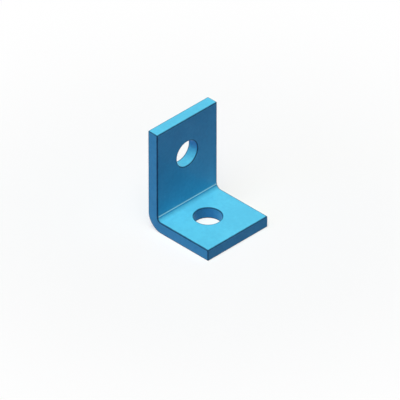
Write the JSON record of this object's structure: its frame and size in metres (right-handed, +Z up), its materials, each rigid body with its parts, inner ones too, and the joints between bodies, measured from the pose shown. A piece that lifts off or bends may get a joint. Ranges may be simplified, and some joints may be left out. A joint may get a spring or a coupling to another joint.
{
  "type": "strut angle fitting",
  "caption": "Right-angle strut fitting pressed from flat steel bar, painted blue, with a short base leg, a longer upright leg and a bolt hole in each.",
  "frame": {"origin": "centre of the base leg's bolt hole, on the bottom seating face, which is also the bottom centre of the bounding box", "axes": "+Z up along the upright leg, -Y along the base leg to its free end, X across the width; the base leg's seating face is the plane Z = 0 and the upright leg's seating face looks along +Y"},
  "size_m": [0.0412, 0.0412, 0.0571],
  "materials": {
    "blue_paint": "satin blue powder coat over steel, with a faint orange peel"
  },
  "bodies": {
    "root": {"angle_fitting": "blue_paint"}
  },
  "joints": []
}
